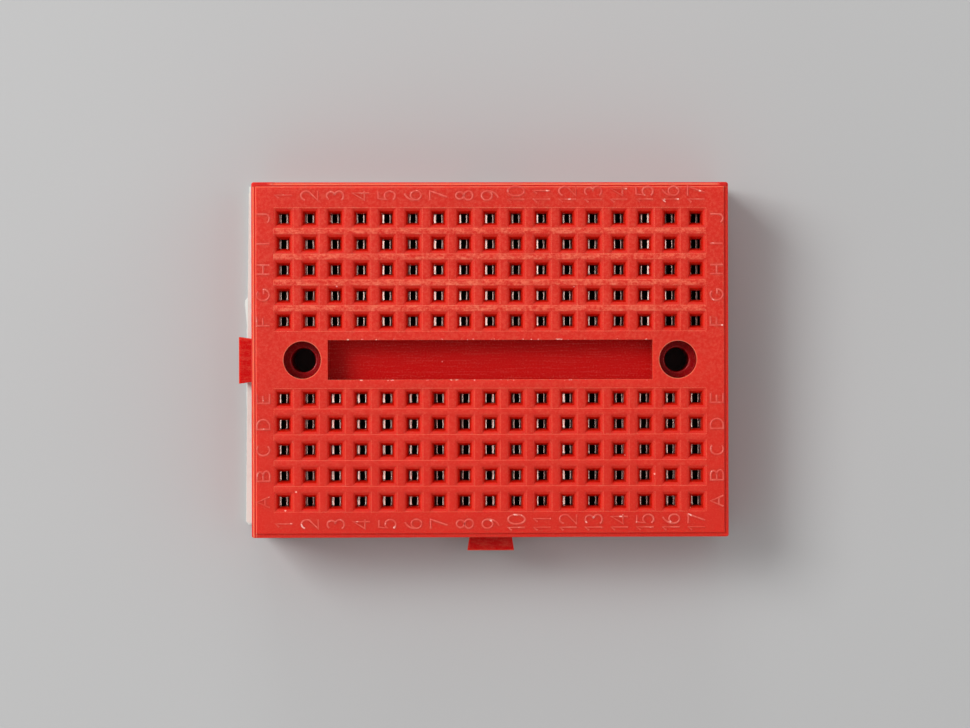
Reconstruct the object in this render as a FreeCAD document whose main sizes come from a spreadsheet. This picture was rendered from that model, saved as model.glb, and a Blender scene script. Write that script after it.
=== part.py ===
"""Solderless breadboard with 170 tie points, as a parametric FreeCAD document.

The frame is in millimetres with +Z up. The origin is on the underside, below the middle of the
hole pattern. X runs along the seventeen columns and Y across the two banks of five rows.

From the table up, the board is a paper release liner, a pad of foam tape, and the moulded housing,
which holds one sheet-metal contact clip for each column of each bank.
"""
import FreeCAD, Part
import os
import Sketcher

DIMENSIONS = (
    # alias, value, meaning
    ("pitch", 2.54, "spacing of the tie points in both directions"),
    ("columns", 17, "tie points along one row"),
    ("rows", 5, "rows in one bank"),
    ("bank_offset", 8.89, "centre of the middle row of a bank, from the centre line"),
    ("body_length", 47.0, "housing along X"),
    ("body_width", 35.0, "housing along Y"),
    ("body_height", 8.5, "housing from underside to face"),
    ("corner_radius", 0.22, "upright corners of the housing"),
    ("ledge_width", 0.42, "step all round the face"),
    ("ledge_depth", 0.25, "height of that step"),
    ("ledge_round", 0.13, "rounding of the step's outer edge"),
    ("face_round", 0.08, "rounding of the face's edge"),
    ("corner_land_left", 2.15, "raised end of the step at the left of the +Y side"),
    ("corner_land_right", 1.0, "raised end of the step at the right of the +Y side"),
    ("corner_land_height", 0.1, "height of both raised ends above the step"),
    ("bank_margin_x", 0.97, "bank panel past the centres of its end columns"),
    ("bank_margin_y", 1.02, "bank panel past the centres of its end rows"),
    ("bank_rise", 0.03, "bank panel above the face"),
    ("band_width", 2.0, "shallow channel along a row"),
    ("band_depth", 0.04, "depth of that channel"),
    ("seat_width", 1.94, "shallow square seat round each funnel, along X"),
    ("seat_depth", 0.04, "depth of that seat below its channel"),
    ("mouth_x", 1.72, "funnel mouth along X"),
    ("mouth_y", 1.88, "funnel mouth along Y"),
    ("brow_share", 0.3, "share of the funnel's narrowing that its shallow first slope takes"),
    ("brow_depth", 0.08, "depth at the end of that slope"),
    ("shoulder_share", 0.62, "share of the narrowing at the end of the second slope"),
    ("shoulder_depth", 0.27, "depth at the end of the second slope"),
    ("throat_x", 0.95, "square hole along X"),
    ("throat_y", 0.92, "square hole along Y"),
    ("funnel_depth", 0.95, "from the seat to the square hole"),
    ("roof_thickness", 1.9, "from the face to the roof of a clip cavity"),
    ("cavity_width", 1.84, "clip cavity along X"),
    ("cavity_length", 12.3, "clip cavity along Y"),
    ("trench_length", 32.0, "centre trench along X"),
    ("trench_width", 3.9, "centre trench along Y"),
    ("trench_depth", 2.8, "centre trench below the face"),
    ("core_length", 9.6, "one hollow under the trench, along X"),
    ("core_width", 2.6, "that hollow along Y"),
    ("core_height", 4.4, "that hollow from the underside up"),
    ("core_spacing", 10.6, "spacing of the three hollows"),
    ("screw_spacing", 37.0, "screw holes, centre to centre"),
    ("screw_hole", 2.4, "screw hole diameter"),
    ("screw_head", 3.7, "counterbore diameter"),
    ("screw_head_depth", 2.4, "counterbore below the face"),
    ("screw_rim", 0.15, "rounding of the hole where the counterbore ends"),
    ("tab_root", 4.2, "dovetail tab where it leaves the wall"),
    ("tab_tip", 4.65, "dovetail tab at its outer end"),
    ("tab_reach", 1.45, "how far a tab stands out"),
    ("tab_drop", 3.0, "top of a tab below the face"),
    ("slot_clearance", 0.1, "gap round a tab in its mating slot"),
    ("sheet", 0.2, "thickness of the clip's sheet metal"),
    ("clip_half_width", 0.8, "outside of the clip's channel, from its middle"),
    ("leaf_root", 1.4, "height at which the leaves leave the channel"),
    ("pinch_gap", 0.16, "gap between two leaves where they grip"),
    ("pinch_height", 5.0, "height of the grip"),
    ("tip_gap", 0.55, "gap between two leaves at their tips"),
    ("tip_height", 6.3, "height of the tips"),
    ("bend_outside", 0.35, "outside radius of the channel's bends"),
    ("bend_inside", 0.15, "inside radius of the channel's bends"),
    ("finger_width", 1.6, "width of a leaf along Y"),
    ("finger_root", 1.0, "height at which the fingers separate"),
    ("finger_corner", 0.3, "rounding of a finger's tip corners"),
    ("backing_length", 46.0, "foam pad along X"),
    ("backing_width", 34.0, "foam pad along Y"),
    ("backing_shift_x", -1.46, "middle of the foam pad along X"),
    ("backing_shift_y", 0.25, "middle of the foam pad along Y"),
    ("backing_skew", -0.6, "turn of the foam pad, in degrees"),
    ("backing_cut", 0.5, "cut corner of the foam pad"),
    ("backing_hole", 3.0, "holes in foam and liner for the screws"),
    ("foam_thickness", 0.9, "foam tape"),
    ("liner_thickness", 0.1, "release liner"),
    ("liner_margin", 0.12, "liner past the foam on every side"),
)

UNDERSIDE = "dims.liner_thickness + dims.foam_thickness"
FACE = f"{UNDERSIDE} + dims.body_height - dims.bank_rise"
TOP = f"{UNDERSIDE} + dims.body_height"
BAND = f"{TOP} - dims.band_depth"
SEAT = f"{BAND} - dims.seat_depth"
THROAT = f"{SEAT} - dims.funnel_depth"
FUNNEL_SECTIONS = (
    # name, share of the narrowing from mouth to square hole, depth below the seat
    ("mouth", "0", "0"),
    ("brow", "dims.brow_share", "dims.brow_depth"),
    ("shoulder", "dims.shoulder_share", "dims.shoulder_depth"),
    ("throat", "1", "dims.funnel_depth"),
)
FIRST_COLUMN = "-(dims.columns - 1) / 2 * dims.pitch"
BANKS = (("upper", 1), ("lower", -1))
EXTRA = 0.5  # how far a cutting sketch stands clear of the surface that it cuts

doc = FreeCAD.newDocument("Breadboard")
dims = doc.addObject("Spreadsheet::Sheet", "dims")
for row, (alias, value, meaning) in enumerate(DIMENSIONS, start=1):
    dims.set(f"A{row}", alias)
    dims.set(f"B{row}", str(value))
    dims.set(f"C{row}", meaning)
    dims.setAlias(f"B{row}", alias)
doc.recompute()


def number(expression):
    """The present value of an expression on the sheet."""
    return float(dims.evalExpression(expression))


def new_body(label):
    """An empty body with its own name."""
    body = doc.addObject("PartDesign::Body", label)
    body.Label = label
    return body


def origin_feature(body, role):
    """A body's own origin plane or axis."""
    return next(item for item in body.Origin.OriginFeatures if item.Role == role)


def new_sketch(body, name, role="XY_Plane", level="0"):
    """An empty sketch on an origin plane of the body, moved along the plane's normal to level."""
    sketch = body.newObject("Sketcher::SketchObject", name)
    sketch.AttachmentSupport = [(origin_feature(body, role), "")]
    sketch.MapMode = "FlatFace"
    sketch.setExpression("AttachmentOffset.Base.z", level)
    return sketch


def pin(sketch, geometry, vertex, across, up):
    """Ties a point of the sketch to its place, given as two expressions."""
    for kind, place in (("DistanceX", across), ("DistanceY", up)):
        index = sketch.addConstraint(
            Sketcher.Constraint(kind, -1, 1, geometry, vertex, number(place))
        )
        sketch.setExpression(f"Constraints[{index}]", place)


def add_polygon(sketch, corners):
    """A closed outline of straight lines through corners, each a pair of expressions."""
    points = [FreeCAD.Vector(number(across), number(up), 0) for across, up in corners]
    first = sketch.GeometryCount
    count = len(points)
    for i in range(count):
        sketch.addGeometry(Part.LineSegment(points[i], points[(i + 1) % count]), False)
    for i in range(count):
        following = first + (i + 1) % count
        sketch.addConstraint(Sketcher.Constraint("Coincident", first + i, 2, following, 1))
    for i, (across, up) in enumerate(corners):
        pin(sketch, first + i, 1, across, up)


def add_rectangle(sketch, across, up, centre=("0", "0")):
    """A rectangle of the given size about a centre."""
    left = f"({centre[0]}) - ({across}) / 2"
    right = f"({centre[0]}) + ({across}) / 2"
    low = f"({centre[1]}) - ({up}) / 2"
    high = f"({centre[1]}) + ({up}) / 2"
    add_polygon(sketch, ((left, low), (right, low), (right, high), (left, high)))


def add_circle(sketch, diameter, across, up="0"):
    """A circle of the given diameter."""
    middle = FreeCAD.Vector(number(across), number(up), 0)
    circle = Part.Circle(middle, FreeCAD.Vector(0, 0, 1), number(diameter) / 2)
    geometry = sketch.addGeometry(circle, False)
    index = sketch.addConstraint(
        Sketcher.Constraint("Diameter", geometry, number(diameter))
    )
    sketch.setExpression(f"Constraints[{index}]", diameter)
    pin(sketch, geometry, 3, across, up)


def add_screw_circles(sketch, diameter):
    """One circle at each screw hole."""
    for side in (-1, 1):
        add_circle(sketch, diameter, f"{side} * dims.screw_spacing / 2")


def pad(body, name, sketch, length, midplane=False):
    """Material of the given height on a sketch."""
    feature = body.newObject("PartDesign::Pad", name)
    feature.Profile = sketch
    feature.Midplane = midplane
    feature.setExpression("Length", length)
    doc.recompute()
    return feature


def pocket(body, name, sketch, length, upward=False, midplane=False):
    """A cut of the given depth from a sketch, downward unless told otherwise."""
    before = body.Shape.Volume
    feature = body.newObject("PartDesign::Pocket", name)
    feature.Profile = sketch
    feature.Reversed = upward
    feature.Midplane = midplane
    feature.setExpression("Length", length)
    doc.recompute()
    if body.Shape.Volume >= before:
        raise ValueError(f"{name} removes nothing")
    return feature


def grid(body, name, originals, columns, rows, row_spacing="dims.pitch"):
    """Repeats features along X at the pitch, and along Y at row_spacing."""
    before = body.Shape.Volume
    feature = body.newObject("PartDesign::LinearPattern", name)
    feature.Originals = originals
    feature.Direction = (origin_feature(body, "X_Axis"), [""])
    feature.Direction2 = (origin_feature(body, "Y_Axis"), [""])
    feature.Mode = "Extent"
    feature.Mode2 = "Extent"
    feature.setExpression("Length", f"({columns} - 1) * dims.pitch")
    feature.setExpression("Length2", f"({rows} - 1) * {row_spacing}")
    feature.setExpression("Occurrences", columns)
    feature.setExpression("Occurrences2", rows)
    body.Tip = feature
    doc.recompute()
    if body.Shape.Volume >= before:
        raise ValueError(f"{name} removes nothing")
    return feature


def fillet(body, name, radius, wanted):
    """Rounds every edge of the body for which wanted is true."""
    base = body.Tip
    edges = [
        f"Edge{number_of}"
        for number_of, edge in enumerate(base.Shape.Edges, start=1)
        if wanted(edge)
    ]
    if not edges:
        raise ValueError(f"{name} finds no edge")
    feature = body.newObject("PartDesign::Fillet", name)
    feature.Base = (base, edges)
    feature.setExpression("Radius", radius)
    doc.recompute()
    return feature


def runs_along(edge, axis):
    """True for a straight edge parallel to the axis."""
    box = edge.BoundBox
    spans = {"x": box.XLength, "y": box.YLength, "z": box.ZLength}
    along = spans.pop(axis)
    return along > 1e-3 and max(spans.values()) < 1e-3


def level_with(edge, level):
    """True for an edge that lies flat at the given height."""
    box = edge.BoundBox
    return near(box.ZMin, level) and near(box.ZMax, level)


def near(value, expression):
    """True where a coordinate is the one that the expression gives."""
    return abs(value - number(expression)) < 0.02


# ---- Housing ---------------------------------------------------------------------------------


def build_block(body):
    """The moulded block: base, inset face with its ledge, and the two raised bank panels."""
    base = new_sketch(body, "base_outline", level=UNDERSIDE)
    add_rectangle(base, "dims.body_length", "dims.body_width")
    base_height = "dims.body_height - dims.bank_rise - dims.ledge_depth"
    pad(body, "base", base, base_height)
    fillet(body, "upright_corners", "dims.corner_radius", lambda edge: runs_along(edge, "z"))

    ledge = f"{FACE} - dims.ledge_depth"
    fillet(body, "ledge_rounding", "dims.ledge_round", lambda edge: level_with(edge, ledge))

    inset = "2 * dims.ledge_width"
    face = new_sketch(body, "face_outline", level=ledge)
    add_rectangle(face, f"dims.body_length - {inset}", f"dims.body_width - {inset}")
    pad(body, "face", face, "dims.ledge_depth")
    fillet(body, "face_rounding", "dims.face_round", lambda edge: level_with(edge, FACE))

    lands = new_sketch(body, "corner_lands_outline", level=f"{ledge} - dims.ledge_round")
    land_y = "dims.body_width / 2 - dims.ledge_width / 2"
    for side, reach in ((-1, "dims.corner_land_left"), (1, "dims.corner_land_right")):
        inner = f"{side} * (dims.body_length / 2 - {reach} / 2 - dims.corner_radius / 2)"
        add_rectangle(lands, f"{reach} - dims.corner_radius", "dims.ledge_width", (inner, land_y))
    pad(body, "corner_lands", lands, "dims.corner_land_height + dims.ledge_round")

    panels = new_sketch(body, "bank_panels_outline", level=FACE)
    panel_x = "(dims.columns - 1) * dims.pitch + 2 * dims.bank_margin_x"
    panel_y = "(dims.rows - 1) * dims.pitch + 2 * dims.bank_margin_y"
    for _, side in BANKS:
        add_rectangle(panels, panel_x, panel_y, ("0", f"{side} * dims.bank_offset"))
    pad(body, "bank_panels", panels, "dims.bank_rise")


def build_dovetails(body):
    """Tabs on the -X and -Y walls and their mating slots in the +X and +Y walls."""
    tab_height = "dims.body_height - dims.bank_rise - dims.tab_drop"
    root = "dims.tab_root / 2"
    tip = "dims.tab_tip / 2"
    tabs = new_sketch(body, "tabs_outline", level=UNDERSIDE)
    wall_x = "-dims.body_length / 2"
    wall_y = "-dims.body_width / 2"
    end_x = f"{wall_x} - dims.tab_reach"
    end_y = f"{wall_y} - dims.tab_reach"
    add_polygon(
        tabs,
        ((wall_x, f"-{root}"), (wall_x, root), (end_x, tip), (end_x, f"-{tip}")),
    )
    add_polygon(
        tabs,
        ((root, wall_y), (f"-{root}", wall_y), (f"-{tip}", end_y), (tip, end_y)),
    )
    pad(body, "tabs", tabs, tab_height)

    slots = new_sketch(body, "slots_outline", level=UNDERSIDE)
    wall_x = "dims.body_length / 2"
    wall_y = "dims.body_width / 2"
    end_x = f"{wall_x} - dims.tab_reach - dims.slot_clearance"
    end_y = f"{wall_y} - dims.tab_reach - dims.slot_clearance"
    root = f"({root} + dims.slot_clearance)"
    tip = f"({tip} + dims.slot_clearance)"
    add_polygon(
        slots,
        ((wall_x, f"-{root}"), (wall_x, root), (end_x, tip), (end_x, f"-{tip}")),
    )
    add_polygon(
        slots,
        ((root, wall_y), (f"-{root}", wall_y), (f"-{tip}", end_y), (tip, end_y)),
    )
    pocket(body, "slots", slots, f"{tab_height} + dims.slot_clearance", upward=True)


def build_centre(body):
    """The centre trench, the hollows under it, and the two counterbored screw holes."""
    trench = new_sketch(body, "trench_outline", level=FACE)
    add_rectangle(trench, "dims.trench_length", "dims.trench_width")
    pocket(body, "trench", trench, "dims.trench_depth")

    hollows = new_sketch(body, "hollows_outline", level=UNDERSIDE)
    for place in (-1, 0, 1):
        centre = (f"{place} * dims.core_spacing", "0")
        add_rectangle(hollows, "dims.core_length", "dims.core_width", centre)
    pocket(body, "hollows", hollows, "dims.core_height", upward=True)

    heads = new_sketch(body, "screw_heads_outline", level=FACE)
    add_screw_circles(heads, "dims.screw_head")
    pocket(body, "screw_heads", heads, "dims.screw_head_depth")

    holes = new_sketch(body, "screw_holes_outline", level=FACE)
    add_screw_circles(holes, "dims.screw_hole")
    pocket(body, "screw_holes", holes, "dims.body_height")

    def screw_rim(edge):
        at_rim = level_with(edge, f"{FACE} - dims.screw_head_depth")
        return at_rim and near(edge.BoundBox.XLength, "dims.screw_hole")

    fillet(body, "screw_rims", "dims.screw_rim", screw_rim)


def build_cavities(body):
    """One cavity per clip, open below, its roof left under the face."""
    first = new_sketch(body, "cavity_outline", level=UNDERSIDE)
    centre = (FIRST_COLUMN, "-dims.bank_offset")
    add_rectangle(first, "dims.cavity_width", "dims.cavity_length", centre)
    depth = "dims.body_height - dims.roof_thickness"
    cavity = pocket(body, "cavity", first, depth, upward=True)
    grid(body, "cavities", [cavity], "dims.columns", str(len(BANKS)), "2 * dims.bank_offset")


def build_tie_points(body, bank, side):
    """The row channels of a bank, and each tie point's seat, funnel and square hole."""
    first_row = f"{side} * dims.bank_offset - (dims.rows - 1) / 2 * dims.pitch"
    bands = new_sketch(body, f"{bank}_bands_outline", level=TOP)
    band_x = "(dims.columns - 1) * dims.pitch + 2 * dims.bank_margin_x"
    for row_number in range(int(number("dims.rows"))):
        centre = ("0", f"{first_row} + {row_number} * dims.pitch")
        add_rectangle(bands, band_x, "dims.band_width", centre)
    pocket(body, f"{bank}_bands", bands, "dims.band_depth")

    centre = (FIRST_COLUMN, first_row)
    seat_outline = new_sketch(body, f"{bank}_seat_outline", level=BAND)
    add_rectangle(seat_outline, "dims.seat_width", "dims.band_width", centre)
    seat = pocket(body, f"{bank}_seat", seat_outline, "dims.seat_depth")

    sections = []
    for name, share, depth in FUNNEL_SECTIONS:
        section = new_sketch(body, f"{bank}_{name}_outline", level=f"{SEAT} - {depth}")
        across = f"dims.mouth_x - {share} * (dims.mouth_x - dims.throat_x)"
        up = f"dims.mouth_y - {share} * (dims.mouth_y - dims.throat_y)"
        add_rectangle(section, across, up, centre)
        sections.append(section)
    funnel = body.newObject("PartDesign::SubtractiveLoft", f"{bank}_funnel")
    funnel.Profile = sections[0]
    funnel.Sections = sections[1:]
    funnel.Ruled = True
    doc.recompute()

    hole_outline = new_sketch(body, f"{bank}_hole_outline", level=THROAT)
    add_rectangle(hole_outline, "dims.throat_x", "dims.throat_y", centre)
    hole = pocket(body, f"{bank}_hole", hole_outline, "dims.roof_thickness - dims.funnel_depth")
    grid(body, f"{bank}_tie_points", [seat, funnel, hole], "dims.columns", "dims.rows")


def build_housing():
    """The moulded housing."""
    body = new_body("housing")
    build_block(body)
    build_dovetails(body)
    build_centre(body)
    build_cavities(body)
    for bank, side in BANKS:
        build_tie_points(body, bank, side)
    return body


# ---- Contact clips ---------------------------------------------------------------------------


def build_clip(label):
    """A spring clip: a folded channel with five pairs of leaves, modelled below the origin column."""
    body = new_body(label)
    outside = "dims.clip_half_width"
    inside = f"({outside} - dims.sheet)"
    pinch = "dims.pinch_gap / 2"
    tip = "dims.tip_gap / 2"
    heights = {
        name: f"{UNDERSIDE} + dims.{name}"
        for name in ("sheet", "leaf_root", "pinch_height", "tip_height", "finger_root")
    }
    right = (
        (outside, UNDERSIDE),
        (outside, heights["leaf_root"]),
        (f"({pinch} + dims.sheet)", heights["pinch_height"]),
        (f"({tip} + dims.sheet)", heights["tip_height"]),
        (tip, heights["tip_height"]),
        (pinch, heights["pinch_height"]),
        (inside, heights["leaf_root"]),
        (inside, heights["sheet"]),
    )
    left = tuple((f"-{across}", up) for across, up in reversed(right))
    section = new_sketch(body, f"{label}_section", role="XZ_Plane")
    add_polygon(section, right + left)
    pad(body, f"{label}_channel", section, "dims.cavity_length", midplane=True)

    def lower_corner(edge, across, up):
        return runs_along(edge, "y") and near(abs(edge.BoundBox.XMax), across) and near(
            edge.BoundBox.ZMax, up
        )

    fillet(
        body,
        f"{label}_outer_bends",
        "dims.bend_outside",
        lambda edge: lower_corner(edge, outside, UNDERSIDE),
    )
    fillet(
        body,
        f"{label}_inner_bends",
        "dims.bend_inside",
        lambda edge: lower_corner(edge, inside, heights["sheet"]),
    )

    gap = "dims.pitch - dims.finger_width"
    gap_height = f"dims.tip_height - dims.finger_root + {EXTRA}"
    gaps = new_sketch(body, f"{label}_gaps_outline", role="YZ_Plane")
    gap_middle = f"{heights['finger_root']} + ({gap_height}) / 2"
    for place in range(int(number("dims.rows")) + 1):
        across = f"({place} - dims.rows / 2) * dims.pitch"
        add_rectangle(gaps, gap, gap_height, (across, gap_middle))
    pocket(body, f"{label}_gaps", gaps, "4 * dims.clip_half_width", midplane=True)

    def tip_corner(edge):
        box = edge.BoundBox
        return near(box.ZMin, heights["tip_height"]) and box.YLength < 1e-3

    fillet(body, f"{label}_tip_corners", "dims.finger_corner", tip_corner)
    return body


def build_clips():
    """The thirty-four clips: one master and its copies, each a body of its own in its cavity."""
    clips = []
    for bank, side in BANKS:
        for column in range(int(number("dims.columns"))):
            label = f"contact_clip_{bank}_{column + 1:02d}"
            if clips:
                body = new_body(label)
                copy = body.newObject("PartDesign::FeatureBase", f"{label}_copy")
                copy.BaseFeature = clips[0]
            else:
                body = build_clip(label)
            body.setExpression("Placement.Base.x", f"{FIRST_COLUMN} + {column} * dims.pitch")
            body.setExpression("Placement.Base.y", f"{side} * dims.bank_offset")
            clips.append(body)
    return clips


# ---- Foam tape and release liner -------------------------------------------------------------


def build_backing(label, level, thickness, margin):
    """A thin sheet stuck slightly askew under the board, with one cut corner and screw holes."""
    body = new_body(label)
    outline = new_sketch(body, f"{label}_outline", level=level)
    outline.setExpression("AttachmentOffset.Base.x", "dims.backing_shift_x")
    outline.setExpression("AttachmentOffset.Base.y", "dims.backing_shift_y")
    outline.setExpression("AttachmentOffset.Rotation.Angle", "dims.backing_skew")
    reach_x = f"(dims.backing_length / 2 + {margin})"
    reach_y = f"(dims.backing_width / 2 + {margin})"
    add_polygon(
        outline,
        (
            (f"dims.backing_cut - {reach_x}", f"-{reach_y}"),
            (reach_x, f"-{reach_y}"),
            (reach_x, reach_y),
            (f"-{reach_x}", reach_y),
            (f"-{reach_x}", f"dims.backing_cut - {reach_y}"),
        ),
    )
    pad(body, f"{label}_pad", outline, thickness)

    holes = new_sketch(body, f"{label}_holes_outline", level=level)
    add_screw_circles(holes, "dims.backing_hole")
    pocket(body, f"{label}_holes", holes, thickness, upward=True)
    return body


# ---- Checks and export -----------------------------------------------------------------------


def check_document():
    """Stops if any object of the document failed to build."""
    for item in doc.Objects:
        if "Invalid" in item.State or "Error" in item.State:
            raise ValueError(f"{item.Name} is {item.State}")


def export(bodies):
    """Writes one STEP file for each sub-part, named after it."""
    for body in bodies:
        if body.Shape.isNull() or not body.Shape.isValid():
            raise ValueError(f"{body.Label} has no valid shape")
        if len(body.Shape.Solids) != 1:
            raise ValueError(f"{body.Label} has {len(body.Shape.Solids)} solids")
    os.makedirs("parts", exist_ok=True)
    for body in bodies:
        body.Shape.exportStep(f"parts/{body.Label}.step")
        print(f"{body.Label}: {body.Shape.Volume:.3f} mm3")


housing = build_housing()
contact_clips = build_clips()
foam_tape = build_backing("foam_tape", "dims.liner_thickness", "dims.foam_thickness", "0")
release_liner = build_backing("release_liner", "0", "dims.liner_thickness", "dims.liner_margin")
doc.recompute()
check_document()
export([housing, *contact_clips, foam_tape, release_liner])
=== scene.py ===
"""Looks of the solderless breadboard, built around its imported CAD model. Metres, +Z up."""

import math
import random
from types import SimpleNamespace

import bmesh
import bpy
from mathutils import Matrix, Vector, noise


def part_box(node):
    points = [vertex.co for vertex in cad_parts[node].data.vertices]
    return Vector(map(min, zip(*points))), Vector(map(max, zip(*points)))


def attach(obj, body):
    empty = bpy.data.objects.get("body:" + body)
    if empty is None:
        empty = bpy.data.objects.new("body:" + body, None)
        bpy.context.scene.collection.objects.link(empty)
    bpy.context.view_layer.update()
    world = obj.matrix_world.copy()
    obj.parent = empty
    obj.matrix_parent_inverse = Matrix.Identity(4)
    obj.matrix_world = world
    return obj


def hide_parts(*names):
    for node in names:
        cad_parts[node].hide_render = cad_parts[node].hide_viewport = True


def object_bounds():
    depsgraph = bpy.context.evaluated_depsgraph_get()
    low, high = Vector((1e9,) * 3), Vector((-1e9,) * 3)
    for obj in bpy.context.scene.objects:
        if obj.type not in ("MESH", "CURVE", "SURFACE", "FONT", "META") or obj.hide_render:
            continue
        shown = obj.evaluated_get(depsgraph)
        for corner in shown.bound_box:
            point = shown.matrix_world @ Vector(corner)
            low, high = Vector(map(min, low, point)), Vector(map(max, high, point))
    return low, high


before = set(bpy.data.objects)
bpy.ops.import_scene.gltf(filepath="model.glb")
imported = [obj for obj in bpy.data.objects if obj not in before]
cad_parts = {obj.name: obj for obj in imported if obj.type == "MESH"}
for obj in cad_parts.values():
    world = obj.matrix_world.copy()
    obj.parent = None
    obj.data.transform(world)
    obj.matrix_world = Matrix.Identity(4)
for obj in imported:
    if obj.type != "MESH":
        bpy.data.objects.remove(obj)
cad_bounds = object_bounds()

MM = 0.001
BOARD, LINER = "board", "liner"
BANKS = ("upper", "lower")

# Sizes of this class of board, in metres.
PITCH = 2.54 * MM
COLUMNS = 17
ROWS = 5
SHEET = 0.2 * MM  # thickness of the clips' metal
LEDGE_WIDTH = 0.42 * MM
SCREW_PLACE = 18.5 * MM  # along X, from the middle
COUNTERBORE = 1.85 * MM  # radius for a screw's head
CLEARANCE = 1.5 * MM  # radius of the holes through foam and liner

# Places read from the frame.
housing_low, housing_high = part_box("housing")  # the low corner lies at the ends of the tabs
foam_low, foam_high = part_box("foam_tape")
liner_low, liner_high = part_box("release_liner")
HALF_LENGTH = housing_high.x
HALF_WIDTH = housing_high.y
TOP = housing_high.z  # ribs of the two bank panels
FACE = TOP - 0.03 * MM  # the rest of the face
SEAT = TOP - 0.08 * MM  # flat round each funnel mouth
LEDGE = FACE - 0.25 * MM  # step all round the face
TRENCH_FLOOR = FACE - 2.8 * MM
TRENCH_HALF = Vector((16.0 * MM, 1.95 * MM))
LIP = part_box("contact_clip_upper_01")[1].z  # tips of the clips' leaves
BANK_MIDDLE = 3.5 * PITCH  # centre row of a bank, from the centre line
LAST_COLUMN = (COLUMNS - 1) / 2 * PITCH
rng = random.Random(17)


# ---- Node material helpers -------------------------------------------------------------------


class Shader:
    """A material with a Principled shader and short calls for the nodes in front of it."""

    def __init__(self, name):
        self.material = bpy.data.materials.new(name)
        self.material.use_nodes = True
        self.tree = self.material.node_tree
        self.surface = self.tree.nodes["Principled BSDF"]
        coordinates = self.tree.nodes.new("ShaderNodeTexCoord")
        self.place = self.scaled(coordinates.outputs["Object"], (1 / MM,) * 3)

    def node(self, kind, **values):
        made = self.tree.nodes.new(kind)
        for key, value in values.items():
            setattr(made, key, value)
        return made

    def feed(self, socket, value):
        """Puts a constant or another node's output on a socket."""
        if isinstance(value, bpy.types.NodeSocket):
            self.tree.links.new(value, socket)
        else:
            socket.default_value = value

    def scaled(self, vector, scale):
        """A coordinate stretched by scale, so that textures read millimetres."""
        made = self.node("ShaderNodeMapping")
        self.feed(made.inputs["Vector"], vector)
        self.feed(made.inputs["Scale"], scale)
        return made.outputs["Vector"]

    def noise(self, scale, detail=3.0, roughness=0.55, stretch=(1, 1, 1)):
        made = self.node("ShaderNodeTexNoise")
        self.feed(made.inputs["Vector"], self.scaled(self.place, stretch))
        self.feed(made.inputs["Scale"], scale)
        self.feed(made.inputs["Detail"], detail)
        self.feed(made.inputs["Roughness"], roughness)
        return made.outputs["Fac"]

    def cells(self, scale, output="Distance"):
        made = self.node("ShaderNodeTexVoronoi")
        self.feed(made.inputs["Vector"], self.place)
        self.feed(made.inputs["Scale"], scale)
        return made.outputs[output]

    def math(self, operation, a, b=0.0):
        made = self.node("ShaderNodeMath", operation=operation)
        self.feed(made.inputs[0], a)
        self.feed(made.inputs[1], b)
        return made.outputs[0]

    def product(self, first, *others):
        """All the values multiplied together."""
        for other in others:
            first = self.math("MULTIPLY", first, other)
        return first

    def vector_math(self, operation, a, b, output="Vector"):
        made = self.node("ShaderNodeVectorMath", operation=operation)
        self.feed(made.inputs[0], a)
        self.feed(made.inputs[1], b)
        return made.outputs[output]

    def ramp(self, value, low, high, to_low=0.0, to_high=1.0):
        """Maps low..high to to_low..to_high with a smooth step, held outside."""
        made = self.node("ShaderNodeMapRange", interpolation_type="SMOOTHSTEP")
        for name, number in (
            ("Value", value),
            ("From Min", low),
            ("From Max", high),
            ("To Min", to_low),
            ("To Max", to_high),
        ):
            self.feed(made.inputs[name], number)
        return made.outputs["Result"]

    def mix(self, factor, a, b):
        """A colour between a and b."""
        made = self.node("ShaderNodeMix", data_type="RGBA")
        self.feed(made.inputs["Factor"], factor)
        self.feed(made.inputs["A"], a)
        self.feed(made.inputs["B"], b)
        return made.outputs["Result"]

    def blend(self, factor, a, b):
        """A number between a and b."""
        made = self.node("ShaderNodeMix", data_type="FLOAT")
        self.feed(made.inputs["Factor"], factor)
        self.feed(made.inputs["A"], a)
        self.feed(made.inputs["B"], b)
        return made.outputs["Result"]

    def axis(self, name):
        """The X, Y or Z of the surface point, in millimetres."""
        made = self.node("ShaderNodeSeparateXYZ")
        self.feed(made.inputs["Vector"], self.place)
        return made.outputs[name]

    def bump(self, height, distance, strength=1.0, normal=None):
        made = self.node("ShaderNodeBump")
        self.feed(made.inputs["Height"], height)
        self.feed(made.inputs["Distance"], distance)
        self.feed(made.inputs["Strength"], strength)
        if normal:
            self.feed(made.inputs["Normal"], normal)
        return made.outputs["Normal"]

    def set(self, **sockets):
        """Puts values on the Principled shader's sockets, named with underscores."""
        for key, value in sockets.items():
            self.feed(self.surface.inputs[key.replace("_", " ")], value)


def between(shader, value, low, high, soft):
    """One where value lies between low and high, with soft edges."""
    rise = shader.ramp(value, low - soft, low + soft)
    fall = shader.ramp(value, high - soft, high + soft, 1.0, 0.0)
    return shader.product(rise, fall)


RED_FACE = (0.64, 0.015, 0.004, 1)
RED_SHADE = (0.60, 0.012, 0.003, 1)  # slow drift of the face's colour
# painted shade: a darker red for recesses, deep places, the tabs and dark lines along the ledge
RED_PAINTED_SHADE = (0.54, 0.002, 0.003, 1)
# painted shade: the darkest red, inside the screw counterbores
SHADED_BORE_RED = (0.33, 0.0, 0.006, 1)
# pale red for real wear and scratches, and for painted highlights on edges that face the light
RED_WEAR_AND_HIGHLIGHT = (0.96, 0.42, 0.24, 1)
# pale red for the marks' rubbed tops, partly painted highlight
MARK_WEAR_AND_HIGHLIGHT = (0.98, 0.38, 0.28, 1)
SPECK = (0.95, 0.62, 0.55, 1)
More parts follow.
